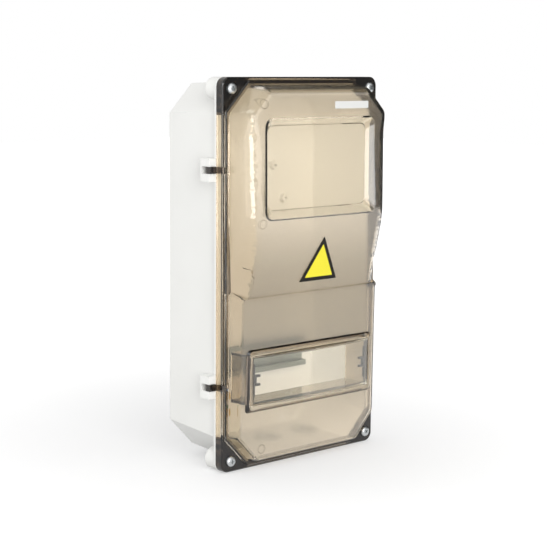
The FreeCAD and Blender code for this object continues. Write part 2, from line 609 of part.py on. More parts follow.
# Captive screws and the rings that hold them in the corner blocks
screws = new_body("cover_screws")
pad(screws, "heads", FRONT, "flange_d", "flange_d + head_h", at_corners("screw_w", "screw_h", "head_r"))
front_edges(screws, "crowns", "head_round", "flange_d + head_h")
pad(screws, "shanks", FRONT, "shank_end_d", "flange_d", at_corners("screw_w", "screw_h", "shank_r"))
nodes["cover_screws"] = screws
rings = new_body("screw_retainers")
RING_SPAN = (f"{SKIRT_D} + ring_seat - ring_h", f"{SKIRT_D} + ring_seat")
pad(rings, "discs", FRONT, *RING_SPAN, at_corners("screw_w", "screw_h", "ring_r", dodecagon))
pocket(rings, "bores", FRONT, *RING_SPAN, at_corners("screw_w", "screw_h", "shank_r + curve_gap"))
nodes["screw_retainers"] = rings

# Plates stuck on the upper dome: a triangle on the slope, a strip on the face
SLOPE = "slope_drop / (break_z + upper_low)"
TILT = "(face_max - face_top) / (dome_top - break_z)"


def sticker(name, points, z, back, angle):
    body = new_body(name)
    pad(body, "film", FRONT, "0", "sticker_t", outline(points))
    body.Placement = FreeCAD.Placement(FreeCAD.Vector(), FreeCAD.Rotation(FreeCAD.Vector(1, 0, 0), 1))
    body.setExpression("Placement.Rotation.Angle", bound(angle))
    body.setExpression("Placement.Base.y", bound(f"0 - flange_d - face_max + {back}"))
    body.setExpression("Placement.Base.z", bound(z))
    nodes[name] = body


THIRD = "sign_side / (2 * sqrt(3))"
sticker("sign_plate", [("sign_x + sign_side / 2", f"0 - {THIRD}"), ("sign_x", f"2 * {THIRD}"),
                       ("sign_x - sign_side / 2", f"0 - {THIRD}")],
        "sign_z", f"({SLOPE}) * (break_z - sign_z)", f"atan({SLOPE})")
sticker("label_plate", box_points("label_w / 2", "label_h / 2", "label_x"),
        "label_z", f"({TILT}) * (label_z - break_z)", f"-1 * atan({TILT})")

# Clear hatch: a bowed tray that sits in the collar's pocket
PANE_W, PANE_H = "(pocket_w / 2 - pane_gap)", "(pocket_h / 2 - pane_gap)"


def bowed(sk, half, back_y, side_y):
    """Outline seen from above: straight back and sides, front bowed out by pane_bow."""
    spots = [(f"0 - {half}", side_y), (f"0 - {half}", back_y), (half, back_y), (half, side_y)]
    flat = [FreeCAD.Vector(size(x), size(y), 0) for x, y in spots]
    for a, b in zip(flat, flat[1:]):
        sk.addGeometry(Part.LineSegment(a, b))
    middle = FreeCAD.Vector(0, size(f"{side_y} - pane_bow"), 0)
    arc = sk.addGeometry(Part.Arc(flat[3], middle, flat[0]))
    for a, b in ((0, 1), (1, 2)):
        sk.addConstraint(Sketcher.Constraint("Coincident", a, 2, b, 1))
    for n, (x, y) in enumerate(spots[:3]):
        pin_point(sk, n, 1, x, y)
    pin_point(sk, 2, 2, *spots[3])
    ends = {1: sk.getPoint(arc, 1), 2: sk.getPoint(arc, 2)}
    right = min(ends, key=lambda k: ends[k].distanceToPoint(flat[3]))
    sk.addConstraint(Sketcher.Constraint("Coincident", 2, 2, arc, right))
    sk.addConstraint(Sketcher.Constraint("Coincident", 0, 1, arc, 3 - right))
    radius = f"({half} ^ 2 + pane_bow ^ 2) / (2 * pane_bow)"
    index = sk.addConstraint(Sketcher.Constraint("Radius", arc, size(radius)))
    sk.setExpression(f"Constraints[{index}]", bound(radius))


pane = new_body("hatch_window")
PANE_BACK = "(pocket_d + pane_seat)"
pad(pane, "tray", "XY_Plane", f"hatch_z - {PANE_H}", f"hatch_z + {PANE_H}",
    lambda sk: bowed(sk, PANE_W, f"0 - {PANE_BACK}", "0 - pane_side_d"))
pocket(pane, "inside", "XY_Plane", f"hatch_z - {PANE_H} + pane_thick", f"hatch_z + {PANE_H} - pane_thick",
       lambda sk: bowed(sk, f"({PANE_W} - pane_thick)", f"1 - {PANE_BACK}", "pane_thick - pane_side_d"))
nodes["hatch_window"] = pane

catches = new_body("hatch_catches")


def catch_points(side):
    """Tongue along the pane's end wall with an open C towards the middle."""
    out = f"({PANE_W} - pane_thick)"
    root, spine, tip = f"{out} - tongue_w", f"{out} - tongue_w - catch_bar", f"{out} - catch_out"
    notch = "catch_h / 2 - catch_bar"
    upper_half = [(out, "tongue_h / 2"), (root, "tongue_h / 2"), (root, "catch_h / 2"), (tip, "catch_h / 2"),
                  (tip, notch), (spine, notch)]
    lower_half = [(x, f"0 - ({z})") for x, z in reversed(upper_half)]
    return [(f"{side} * ({x})", f"hatch_z + {z}") for x, z in upper_half + lower_half]


for side in (-1, 1):
    pad(catches, f"catch_{side + 1}", FRONT, "catch_d", "catch_d + catch_thick",
        outline(catch_points(side)))
nodes["hatch_catches"] = catches

doc.recompute()
os.makedirs("parts", exist_ok=True)
for name, thing in nodes.items():
    thing.Label = name
    shape = thing.Shape
    if shape.isNull() or not shape.isValid() or {"Invalid", "Error"} & set(thing.State):
        raise SystemExit(f"{name} did not build")
    print(name, len(shape.Solids), "solids", round(shape.Volume / 1000, 1), "cm3")
    shape.exportStep(f"parts/{name}.step")
for thing in doc.Objects:
    if {"Invalid", "Error"} & set(thing.State):
        raise SystemExit(f"{thing.Name} did not build")
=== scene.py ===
import math

import bmesh
import bpy
from mathutils import Matrix, Vector


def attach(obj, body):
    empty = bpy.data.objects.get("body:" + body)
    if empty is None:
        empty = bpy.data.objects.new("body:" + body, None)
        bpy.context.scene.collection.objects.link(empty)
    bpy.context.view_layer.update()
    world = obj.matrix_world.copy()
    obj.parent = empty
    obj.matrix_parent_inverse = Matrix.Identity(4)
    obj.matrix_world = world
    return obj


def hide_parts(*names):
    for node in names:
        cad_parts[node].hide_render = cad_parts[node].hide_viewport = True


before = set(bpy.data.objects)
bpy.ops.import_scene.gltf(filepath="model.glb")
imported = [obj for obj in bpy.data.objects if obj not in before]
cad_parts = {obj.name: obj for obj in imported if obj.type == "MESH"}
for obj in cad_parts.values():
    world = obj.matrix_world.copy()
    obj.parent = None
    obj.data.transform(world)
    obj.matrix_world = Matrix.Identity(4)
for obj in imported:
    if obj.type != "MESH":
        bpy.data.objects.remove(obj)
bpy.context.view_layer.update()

# ---- Base ----
# The tub that is screwed to the wall: one white ABS moulding with drafted walls and cut corners,
# a rim that the cover closes on, four screw bosses and two hinge lugs on the left side.
MM = 0.001


def linear(code):
    """An sRGB hex colour as linear RGBA."""
    parts = [int(code[n:n + 2], 16) / 255 for n in (1, 3, 5)]
    return tuple(c / 12.92 if c <= 0.04045 else ((c + 0.055) / 1.055) ** 2.4 for c in parts) + (1.0,)


def new_material(name):
    material = bpy.data.materials.new(name)
    material.use_nodes = True
    material.node_tree.nodes.clear()
    return material


def add(owner, kind, sockets=None, **settings):
    """One node with its settings; a socket is given a value or the output that feeds it."""
    node = owner.node_tree.nodes.new("ShaderNode" + kind)
    for key, value in settings.items():
        setattr(node, key, value)
    for key, value in (sockets or {}).items():
        if isinstance(value, bpy.types.NodeSocket):
            owner.node_tree.links.new(value, node.inputs[key])
        else:
            node.inputs[key].default_value = value
    return node


def welded(node, sharp):
    """The solid's triangles joined into one skin, smooth but for edges sharper than an angle."""
    bm = bmesh.new()
    bm.from_mesh(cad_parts[node].data)
    bmesh.ops.remove_doubles(bm, verts=bm.verts, dist=0.001 * MM)
    for face in bm.faces:
        face.smooth = True
    for edge in bm.edges:
        edge.smooth = edge.calc_face_angle(math.pi) < math.radians(sharp)
    return bm


def piece(name, bm, materials, body, slot, *stands_for):
    """Turns a bmesh into an object of the part that rides on a body."""
    mesh = bpy.data.meshes.new(name)
    bm.to_mesh(mesh)
    bm.free()
    if "custom_normal" in mesh.attributes:
        mesh.attributes.remove(mesh.attributes["custom_normal"])
    for material in materials:
        mesh.materials.append(material)
    thing = bpy.data.objects.new(name, mesh)
    bpy.context.scene.collection.objects.link(thing)
    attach(thing, body)
    if stands_for:
        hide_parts(*stands_for)
    return thing


def even_faces(thing):
    """Keeps the large flat faces of a moulding flat where they run into its rounded edges."""
    even = thing.modifiers.new("even_faces", "WEIGHTED_NORMAL")
    even.keep_sharp = True
    even.weight = 100


# White ABS from a lightly grained mould: a satin white, edges that catch the light, and a faint
# unevenness in tone and gloss where the melt flowed.
abs_white = new_material("moulded_white_abs")
spot = add(abs_white, "TexCoord").outputs["Object"]
flow = add(abs_white, "TexNoise", {"Vector": spot, "Scale": 1 / (55 * MM), "Detail": 2.0})
grain = add(abs_white, "TexNoise", {"Vector": spot, "Scale": 1 / (1.1 * MM), "Detail": 3.0})
tone = add(abs_white, "Mix", {0: flow.outputs["Fac"], 6: linear("#EFEFEB"), 7: linear("#F6F6F3")},
           data_type="RGBA")
gloss = add(abs_white, "MapRange", {"Value": flow.outputs["Fac"], "From Min": 0.3, "From Max": 0.7,
                                    "To Min": 0.33, "To Max": 0.43})
edge = add(abs_white, "Bevel", {"Radius": 0.7 * MM}, samples=4)
relief = add(abs_white, "Bump", {"Strength": 0.10, "Distance": 0.12 * MM, "Height": grain.outputs["Fac"],
                                 "Normal": edge.outputs["Normal"]})
skin = add(abs_white, "BsdfPrincipled", {"Base Color": tone.outputs[2], "Roughness": gloss.outputs["Result"],
                                         "IOR": 1.53, "Normal": relief.outputs["Normal"]})
add(abs_white, "OutputMaterial", {"Surface": skin.outputs["BSDF"]})

even_faces(piece("tub", welded("base", 20), [abs_white], "base", "white_housing", "base"))

# ---- Inserts, hinge pins and retaining rings ----
# Turned brass bushes pressed into the four bosses, two drawn steel pins in the hinge lugs and
# the plastic rings that keep the cover screws from falling out.


def finish(node, material):
    """Gives a solid of the frame its material."""
    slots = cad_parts[node].data.materials
    slots.clear()
    slots.append(material)


# Turned brass: warm yellow metal with fine rings left by the tool.
brass = new_material("turned_brass")
spot = add(brass, "TexCoord").outputs["Object"]
rings = add(brass, "TexNoise", {"Vector": spot, "Scale": 1 / (0.8 * MM), "Detail": 4.0})
tone = add(brass, "Mix", {0: rings.outputs["Fac"], 6: linear("#B8924A"), 7: linear("#D9BC78")}, data_type="RGBA")
relief = add(brass, "Bump", {"Strength": 0.15, "Distance": 0.05 * MM, "Height": rings.outputs["Fac"]})
skin = add(brass, "BsdfPrincipled", {"Base Color": tone.outputs[2], "Metallic": 1.0, "Roughness": 0.3,
                                     "Normal": relief.outputs["Normal"]})
add(brass, "OutputMaterial", {"Surface": skin.outputs["BSDF"]})
finish("screw_inserts", brass)
finish("neutral_bar", brass)
finish("earth_bar", brass)

# Zinc-plated steel: pale cool grey with the soft spangle of the plating.
zinc = new_material("zinc_plated_steel")
spot = add(zinc, "TexCoord").outputs["Object"]
spangle = add(zinc, "TexNoise", {"Vector": spot, "Scale": 1 / (1.5 * MM), "Detail": 3.0})
tone = add(zinc, "Mix", {0: spangle.outputs["Fac"], 6: linear("#B4B8BA"), 7: linear("#DDE0E0")},
           data_type="RGBA")
gloss = add(zinc, "MapRange", {"Value": spangle.outputs["Fac"], "To Min": 0.2, "To Max": 0.38})
relief = add(zinc, "Bump", {"Strength": 0.2, "Distance": 0.05 * MM, "Height": spangle.outputs["Fac"]})
skin = add(zinc, "BsdfPrincipled", {"Base Color": tone.outputs[2], "Metallic": 1.0,
                                    "Roughness": gloss.outputs["Result"], "Normal": relief.outputs["Normal"]})
add(zinc, "OutputMaterial", {"Surface": skin.outputs["BSDF"]})
finish("hinge_pins", zinc)

# Black ABS: dark satin plastic with a fine grain and softly worn edges.
black_abs = new_material("moulded_black_abs")
spot = add(black_abs, "TexCoord").outputs["Object"]
grain = add(black_abs, "TexNoise", {"Vector": spot, "Scale": 1 / (0.9 * MM), "Detail": 3.0})
tone = add(black_abs, "Mix", {0: grain.outputs["Fac"], 6: linear("#16140F"), 7: linear("#2B2823")},
           data_type="RGBA")
edge = add(black_abs, "Bevel", {"Radius": 0.3 * MM}, samples=4)
relief = add(black_abs, "Bump", {"Strength": 0.15, "Distance": 0.08 * MM, "Height": grain.outputs["Fac"],
                                 "Normal": edge.outputs["Normal"]})
skin = add(black_abs, "BsdfPrincipled", {"Base Color": tone.outputs[2], "Roughness": 0.38, "IOR": 1.53,
                                         "Normal": relief.outputs["Normal"]})
add(black_abs, "OutputMaterial", {"Surface": skin.outputs["BSDF"]})
finish("screw_retainers", black_abs)

# ---- Cable grommets and seal ----
# Three moulded rubber grommets snapped into the bottom wall, and a black foam rubber cord laid
# round the rim that the cover presses on.


def rubber(name, dark, light):
    """Rubber: dull and soft with a dry, dusty bloom and fine pores."""
    soft = new_material(name)
    where = add(soft, "TexCoord").outputs["Object"]
    bloom = add(soft, "TexNoise", {"Vector": where, "Scale": 1 / (6 * MM), "Detail": 4.0})
    mixed = add(soft, "Mix", {0: bloom.outputs["Fac"], 6: linear(dark), 7: linear(light)}, data_type="RGBA")
    pores = add(soft, "TexNoise", {"Vector": where, "Scale": 1 / (0.7 * MM), "Detail": 2.0})
    bumps = add(soft, "Bump", {"Strength": 0.3, "Distance": 0.08 * MM, "Height": pores.outputs["Fac"]})
    surface = add(soft, "BsdfPrincipled", {"Base Color": mixed.outputs[2], "Roughness": 0.62, "IOR": 1.52,
                                           "Normal": bumps.outputs["Normal"]})
    add(soft, "OutputMaterial", {"Surface": surface.outputs["BSDF"]})
    return soft


finish("seal_cord", rubber("black_foam_rubber", "#1B1A18", "#2E2C29"))
finish("cable_grommets", rubber("pale_moulded_rubber", "#D3D4CF", "#E2E2DE"))

# ---- Rail ----
# The top-hat rail that takes the breakers: rolled steel strip, zinc plated and passivated, held
# on two posts of the tub by tapping screws.

# Passivated zinc: a grey-green metal with long rolling marks.
rail_zinc = new_material("passivated_rail_steel")
spot = add(rail_zinc, "TexCoord").outputs["Object"]
along = add(rail_zinc, "Mapping", {"Vector": spot, "Scale": (0.04, 1.0, 1.0)})
lines = add(rail_zinc, "TexNoise", {"Vector": along.outputs["Vector"], "Scale": 1 / (0.9 * MM), "Detail": 3.0})
tone = add(rail_zinc, "Mix", {0: lines.outputs["Fac"], 6: linear("#8C938E"), 7: linear("#B5BBB4")},
           data_type="RGBA")
relief = add(rail_zinc, "Bump", {"Strength": 0.2, "Distance": 0.05 * MM, "Height": lines.outputs["Fac"]})
skin = add(rail_zinc, "BsdfPrincipled", {"Base Color": tone.outputs[2], "Metallic": 1.0, "Roughness": 0.36,
                                         "Normal": relief.outputs["Normal"]})
add(rail_zinc, "OutputMaterial", {"Surface": skin.outputs["BSDF"]})
finish("din_rail", rail_zinc)


def turned(bm, profile, steps):
    """A profile of (radius, height) pairs spun about the Z axis."""
    points = [bm.verts.new((r * MM, 0, h * MM)) for r, h in profile]
    sides = [bm.edges.new(pair) for pair in zip(points, points[1:])]
    bmesh.ops.spin(bm, geom=points + sides, cent=(0, 0, 0), axis=(0, 0, 1), angle=math.tau, steps=steps,
                   use_merge=True)
    bmesh.ops.remove_doubles(bm, verts=bm.verts, dist=0.001 * MM)


def recess(bm, top, half, reach, deep, arms):
    """Sinks a cross or a slot into the open top of a turned head."""
    rim = [e for e in bm.edges if e.is_boundary and all(abs(v.co.z - top * MM) < 0.01 * MM for v in e.verts)]
    core = bmesh.ops.create_grid(bm, x_segments=1, y_segments=1, size=half * MM,
                                 matrix=Matrix.Translation((0, 0, top * MM)))["verts"]
    square = core[0].link_faces[0]
    region = [square]
    for side in list(square.edges)[::1 if arms == 4 else 2]:
        out = sum((v.co for v in side.verts), Vector()) / 2
        out.z = 0
        grown = bmesh.ops.extrude_edge_only(bm, edges=[side])["geom"]
        bmesh.ops.translate(bm, verts=[g for g in grown if isinstance(g, bmesh.types.BMVert)],
                            vec=out.normalized() * (reach - half) * MM)
        region += [g for g in grown if isinstance(g, bmesh.types.BMFace)]
    sunk = bmesh.ops.extrude_face_region(bm, geom=region)["geom"]
    floor = [g for g in sunk if isinstance(g, bmesh.types.BMVert)]
    bmesh.ops.translate(bm, verts=floor, vec=(0, 0, -deep * MM))
    bmesh.ops.scale(bm, verts=floor, vec=(0.7, 0.7, 1))
    for old in region:
        if old.is_valid:
            bm.faces.remove(old)
    lip = [e for e in bm.edges if e.is_boundary and e not in rim]
    bmesh.ops.bridge_loops(bm, edges=rim + lip)
    bmesh.ops.recalc_face_normals(bm, faces=bm.faces)


def screw_set(name, profile, top, cut, spots, turns, material, body, slot, node):
    """Like screws as one piece, each turned to its own angle, heads towards the front."""
    one = bmesh.new()
    turned(one, profile, 28)
    recess(one, top, *cut)
    mesh = bpy.data.meshes.new(name + "_one")
    one.to_mesh(mesh)
    one.free()
    bm = bmesh.new()
    for (x, d, z), turn in zip(spots, turns):
        first = len(bm.verts)
        bm.from_mesh(mesh)
        bm.verts.ensure_lookup_table()
        place = (Matrix.Translation((x * MM, -d * MM, z * MM)) @ Matrix.Rotation(math.radians(90), 4, "X")
                 @ Matrix.Rotation(math.radians(turn), 4, "Z"))
        bmesh.ops.transform(bm, matrix=place, verts=bm.verts[first:])
    bpy.data.meshes.remove(mesh)
    for face in bm.faces:
        face.smooth = True
    for edge in bm.edges:
        edge.smooth = edge.calc_face_angle(math.pi) < math.radians(32)
    return piece(name, bm, [material], body, slot, node)


screw_set("rail_screw_set",
          [(1.9, 2.2), (2.7, 1.95), (3.2, 1.35), (3.4, 0.5), (3.3, 0), (1.5, 0), (1.5, -3.4), (0, -3.4)],
          2.2, (0.4, 1.5, 1.3, 4), [(-70, 5.5, -112), (70, 5.5, -112)], (25, -8), zinc, "base", "plated_steel",
          "rail_screws")

# ---- Terminal bars ----
# Two brass bars with five clamp screws each, snapped into coloured plastic carriers: blue for
# the neutral bar and green for the earth bar.


def carrier(name, dark, light):
    """Polyamide: a soft satin colour with a faint mottle."""
    plastic = new_material(name)
    where = add(plastic, "TexCoord").outputs["Object"]
    mottle = add(plastic, "TexNoise", {"Vector": where, "Scale": 1 / (2 * MM), "Detail": 3.0})
    mixed = add(plastic, "Mix", {0: mottle.outputs["Fac"], 6: linear(dark), 7: linear(light)}, data_type="RGBA")
    round_edge = add(plastic, "Bevel", {"Radius": 0.4 * MM}, samples=4)
    bumps = add(plastic, "Bump", {"Strength": 0.12, "Distance": 0.08 * MM, "Height": mottle.outputs["Fac"],
                                  "Normal": round_edge.outputs["Normal"]})
    surface = add(plastic, "BsdfPrincipled", {"Base Color": mixed.outputs[2], "Roughness": 0.42, "IOR": 1.53,
                                              "Normal": bumps.outputs["Normal"]})
    add(plastic, "OutputMaterial", {"Surface": surface.outputs["BSDF"]})
    return plastic


finish("neutral_carrier", carrier("moulded_blue_polyamide", "#1F4E96", "#2C62AE"))
finish("earth_carrier", carrier("moulded_green_polyamide", "#1E7A3C", "#2C9150"))
for name, z, turns in (("neutral", -148, (12, -35, 70, 5, 48)), ("earth", -167, (-20, 30, -62, 82, 15))):
    screw_set(name + "_screw_set", [(1.8, 2.0), (2.15, 1.75), (2.3, 1.4), (2.3, 0), (0, 0)], 2.0,
              (0.32, 1.6, 0.9, 2), [(-88 + 10 * n, 23, z) for n in range(5)], turns, zinc, "base", "plated_steel",
              name + "_screws")

# ---- Cover ----
# The smoked lid: one polycarbonate moulding with a stepped flange, a domed front with a recessed
# window and a collared hatch well. It swings on the left-hand hinge and is held by four screws.

# Smoked polycarbonate: polished, brownish and clear, with four faint ejector marks and the slow
# waviness of a large moulding. The thicker the plastic, the darker it looks, and some zones are
# tinted darker still as painted shade or paler as painted light.
EJECTOR_SPOTS = [(-86, 184), (-89, 58), (-94, -40), (-72, -190)]


def smoked(name, tint, waist, mark, shade, haze, coat):
    """Smoked plastic with its tint at the ends and a painted shade at the waist, its marks, and the shade it casts.
    """
    plastic = new_material(name)
    where = add(plastic, "TexCoord").outputs["Object"]
    wave = add(plastic, "TexNoise", {"Vector": where, "Scale": 1 / (30 * MM), "Detail": 1.0})
    marks = add(plastic, "Math", {0: 0.0, 1: 0.0}, operation="ADD").outputs[0]
    flat = add(plastic, "VectorMath", {0: where, 1: (1, 0, 1)}, operation="MULTIPLY").outputs[0]
    for x, z in EJECTOR_SPOTS:
        far = add(plastic, "VectorMath", {0: flat, 1: (x * MM, 0, z * MM)}, operation="DISTANCE").outputs["Value"]
        off = add(plastic, "Math", {0: far, 1: 4.8 * MM}, operation="SUBTRACT").outputs[0]
        ring = add(plastic, "MapRange", {"Value": add(plastic, "Math", {0: off}, operation="ABSOLUTE").outputs[0],
                                         "From Min": 0.0, "From Max": 0.8 * MM, "To Min": 1.0, "To Max": 0.0},
                   interpolation_type="SMOOTHSTEP")
        marks = add(plastic, "Math", {0: marks, 1: ring.outputs["Result"]}, operation="MAXIMUM").outputs[0]
    bumps = add(plastic, "Bump", {"Strength": 0.1, "Distance": 0.15 * MM, "Height": wave.outputs["Fac"]})
    # The tint darkens towards the waist: painted shade where the inside behind the lower face lies in shadow.
    height = add(plastic, "SeparateXYZ", {"Vector": where}).outputs["Z"]
    from_waist = add(plastic, "Math", {0: height, 1: -45 * MM}, operation="SUBTRACT").outputs[0]
    from_waist = add(plastic, "Math", {0: from_waist}, operation="ABSOLUTE").outputs[0]
    deep = add(plastic, "MapRange", {"Value": from_waist, "From Min": 20 * MM, "From Max": 170 * MM, "To Min": 1.0,
                                     "To Max": 0.0}, interpolation_type="SMOOTHSTEP")
    body = add(plastic, "Mix", {0: deep.outputs["Result"], 6: linear(tint), 7: linear(waist)}, data_type="RGBA")
    inked = add(plastic, "Mix", {0: marks, 6: body.outputs[2], 7: linear(mark)}, data_type="RGBA")
    surface = add(plastic, "BsdfPrincipled", {"Base Color": inked.outputs[2], "Roughness": haze, "IOR": 1.58,
                                              "Transmission Weight": 1.0, "Normal": bumps.outputs["Normal"],
                                              "Coat Weight": coat, "Coat Roughness": 0.03, "Coat IOR": 1.5})
    through = add(plastic, "BsdfTransparent", {"Color": linear(shade)})
    path = add(plastic, "LightPath")
    both = add(plastic, "MixShader", {0: path.outputs["Is Shadow Ray"], 1: surface.outputs["BSDF"],
                                      2: through.outputs["BSDF"]})
    add(plastic, "OutputMaterial", {"Surface": both.outputs["Shader"]})
    return plastic


# The thin side walls, then the corner blocks, arms and collar, nearly black: thick smoke darkened
# further as painted shade.
smoke_thin = smoked("smoked_polycarbonate", "#DCD2C1", "#D7CBB9", "#B3A692", "#F6F0E6", 0.05, 0.0)
smoke_thick_shaded = smoked("thick_smoked_polycarbonate_with_painted_shade", "#41362C", "#41362C", "#41362C", "#5A4F45", 0.08, 0.0)
# The window, almost clear, with the collar's rim and the window's walls in the same pale smoke as
# painted light; then the ledge at the foot, brown as painted shade along the foot of the domes.
smoke_clear_and_painted_light = smoked("window_polycarbonate_and_painted_light", "#F0EBE2", "#F0EBE2", "#F0EBE2", "#F6F0E6", 0.06, 0.0)
smoke_foot_shade = smoked("smoked_polycarbonate_with_painted_foot_shade", "#6E604F", "#6E604F", "#6E604F", "#A89C8C", 0.05, 0.0)
# The broad front faces, where a slight haze under the polish veils what lies behind; their tint
# darkens strongly towards the waist as painted shade.
smoke_haze = smoked("hazy_smoked_polycarbonate", "#EDE5DA", "#AFA593", "#AFA28E", "#F6F0E6", 0.14, 1.0)

# Sizes of the moulding in mm: x from the middle, z from half height, the front from the wall.
FOOT, CREST, WALL = 96, 127, 3.0  # front of the flange, front of the upper dome, thickness
BREAK_Z, WAIST_Z, BEND_Z = 57, -20.7, -29  # the slope's upper and lower end, the end of the bend
FALL, LIFT = 24 / 92, 4.5  # fall of the slope in the solid, and how far its lower end is lifted
LOWER, CURVE = 105.96, 0.01114  # front of the lower face before the lift, curve of the bend
WINDOW_X, WINDOW_Z = 84.6, 116
HATCH_Z, WELL_X, WELL_Z, RIM_X, RIM_Z = -112, 90.8, 27.3, 94.5, 31.25
CUT_X, CUT_Z, CUT = 116, 209, 33.5  # the cut corners of the flange
TIGHT, ROUND = 11.05, 20.0  # radius of the upper dome's side edges in the solid and as drawn
LOW_Z, TOP_Z = -12, 166  # where that round fades out
STEEP, GENTLE = 0.203, 0.0235  # fall of the lifted slope and of the upper face
SHARP = 24  # edges sharper than this angle in degrees stay crisp

skin = welded("cover", SHARP)


def cut_across(bm, point, normal):
    """Cuts a line of edges through a skin."""
    bmesh.ops.bisect_plane(bm, geom=bm.verts[:] + bm.edges[:] + bm.faces[:], dist=0.001 * MM,
                           plane_co=Vector(point) * MM, plane_no=normal)


# The slope runs into the face under it along a soft bend, and the collar stands proud of that face.
for vert in skin.verts:
    x, z, front = abs(vert.co.x) / MM, vert.co.z / MM, -vert.co.y / MM
    behind = WALL if vert.normal.dot(Vector((vert.co.x / MM, -60, 0))) < 0 else 0.0
    high = front + behind
    if z > BREAK_Z or high < FOOT:
        continue
    if z > WAIST_Z:
        level = CREST - FALL * (BREAK_Z - z)
        lift = LIFT * (BREAK_Z - z) / (BREAK_Z - WAIST_Z)
    else:
        face_at = 111.4 + 4.1 * z / 204.3  # front of the lower face in the solid
        if high > face_at + 0.3 or (x < WELL_X and abs(z - HATCH_Z) < WELL_Z):
            continue  # the collar and the well stay as they are
        level = LOWER + CURVE * max(z - BEND_Z, 0) ** 2
        lift = LIFT * (1 + 0.75 * (z - WAIST_Z) / 183)  # fades to a quarter at the lower end
        ease = min((WAIST_Z - z) / 7, 1)
        scaled = FOOT + (high - FOOT) * (1 - ease + ease * (LOWER - FOOT) / (face_at - FOOT))
        side = min(max((x - 97) / 7, 0), 1)  # 0 on the face, 1 on the side wall
        high = min(high, level) * (1 - side) + scaled * side
    high += lift * min((high - FOOT) / (level - FOOT), 1)
    vert.co.y = -(high - behind) * MM


def wall_turn(radius, centre, foot):
    """The angle through which a round turns before it runs straight down to the foot."""
    across, down = foot[0] - centre[0], foot[1] - centre[1]
    return math.atan2(across, down) - math.acos(radius / math.hypot(across, down))


# The long side edges of the upper dome are turned with a large round, so that light runs along them.
# Each point keeps its place on the face, the round or the wall, and moves with it.
for height in (LOW_Z, -4, 4, 12, 20, 30, 40, 48, BREAK_Z, 66, 80, 95, 110, 125, 140, 150, 156, 161, TOP_Z):
    cut_across(skin, (0, 0, height), (0, 0, 1))
for vert in skin.verts:
    x, z, front = abs(vert.co.x) / MM, vert.co.z / MM, -vert.co.y / MM
    share = min(max((z - LOW_Z) / 32, 0), max((TOP_Z - z) / 16, 0), 1)
    if share == 0 or x < 85 or front < 92:
        continue
    # Front of the face, foot of the side wall, and the middle of the old and of the new round.
    top = CREST - (STEEP * (BREAK_Z - z) if z < BREAK_Z else GENTLE * (z - BREAK_Z))
    top -= max(1 - abs(z - BREAK_Z) / 12, 0) ** 2
    foot = (110.8 + 0.008 * (z - 80) - 0.027 * max(BREAK_Z - z, 0), FOOT)
    old = (91.3 + 0.0513 * (z - 80), top - TIGHT)
    new = (old[0] - 1 - 0.032 * (z - 30), top - ROUND)
    old_turn, new_turn = wall_turn(TIGHT, old, foot), wall_turn(ROUND, new, foot)
    across, up = x - old[0], front - old[1]
    turn = min(max(math.atan2(across, up), 0), old_turn)
    deep = across * math.sin(turn) + up * math.cos(turn) - TIGHT
    if not -WALL - 1.4 < deep < 0.7:
        continue
    deep = 0 if deep > -WALL / 2 else -WALL
    along = across * math.cos(turn) - up * math.sin(turn)
    swung = turn * new_turn / old_turn
    to_x = new[0] + (ROUND + deep) * math.sin(swung)
    to_front = new[1] + (ROUND + deep) * math.cos(swung)
    if turn == 0:
        to_x, to_front = x + (new[0] - old[0]) * max(1 + along / (old[0] - WINDOW_X), 0), front
    elif turn == old_turn:
        length = math.hypot(foot[0] - old[0], foot[1] - old[1])
        fade = along / math.sqrt(length ** 2 - TIGHT ** 2)
        if fade > 1:
            continue
        to_x += fade * (foot[0] - new[0] - ROUND * math.sin(new_turn))
        to_front += fade * (foot[1] - new[1] - ROUND * math.cos(new_turn))
    vert.co.x = math.copysign(x + share * (to_x - x), vert.co.x) * MM
    vert.co.y = -(front + share * (to_front - front)) * MM
skin.normal_update()
for edge in skin.edges:
    edge.smooth = edge.calc_face_angle(math.pi) < math.radians(SHARP)

# Each zone of the moulding takes its own smoke, the thin one where none is named; the darker and paler zones are
# partly painted shade and painted light, as noted at each.
for sx, sz in ((-1, -1), (-1, 1), (1, -1), (1, 1)):
    cut_across(skin, (sx * (CUT_X - CUT), 0, sz * CUT_Z), (sx, 0, sz))
THICK_SHADED, CLEAR_AND_PAINTED_LIGHT, FOOT_SHADE, HAZE = 1, 2, 3, 4
for face in skin.faces:
    middle, lean = face.calc_center_median() / MM, abs(face.normal.y)
    x, z, front = middle.x, middle.z, -middle.y
    at_collar = abs(x) < RIM_X + 5 and abs(z - HATCH_Z) < RIM_Z + 5
    flat = face.normal.y < -0.99
    if CUT_X - abs(x) + CUT_Z - abs(z) < CUT or x < -119.3:
        face.material_index = THICK_SHADED  # corner blocks and hinge arms, thick smoke darkened as painted shade
    elif abs(z) > 210.6:
        face.material_index = THICK_SHADED  # top and bottom skirts, darkened as painted shade
    elif flat and abs(front - FOOT) < 0.05:
        face.material_index = FOOT_SHADE  # foot of the domes, a painted shade line
    elif flat and at_collar and front > 112.5:
        face.material_index = CLEAR_AND_PAINTED_LIGHT  # rim of the collar, made paler as a painted highlight
    elif at_collar and front > 106.9 and lean < 0.8:
        face.material_index = THICK_SHADED  # sides of the collar, darkened as painted shade
    elif 114 < front < 118 and lean > 0.99 and abs(z - WINDOW_Z) < 50:
        face.material_index = CLEAR_AND_PAINTED_LIGHT  # floor of the window
    elif front > 108 and lean < 0.9 and abs(face.normal.z) > 0.5 and 34 < abs(z - WINDOW_Z) < 62:
        face.material_index = CLEAR_AND_PAINTED_LIGHT  # upper and lower wall of the window, made paler as painted light
    elif front > 98 and lean > 0.9:
        face.material_index = HAZE  # broad faces of the domes
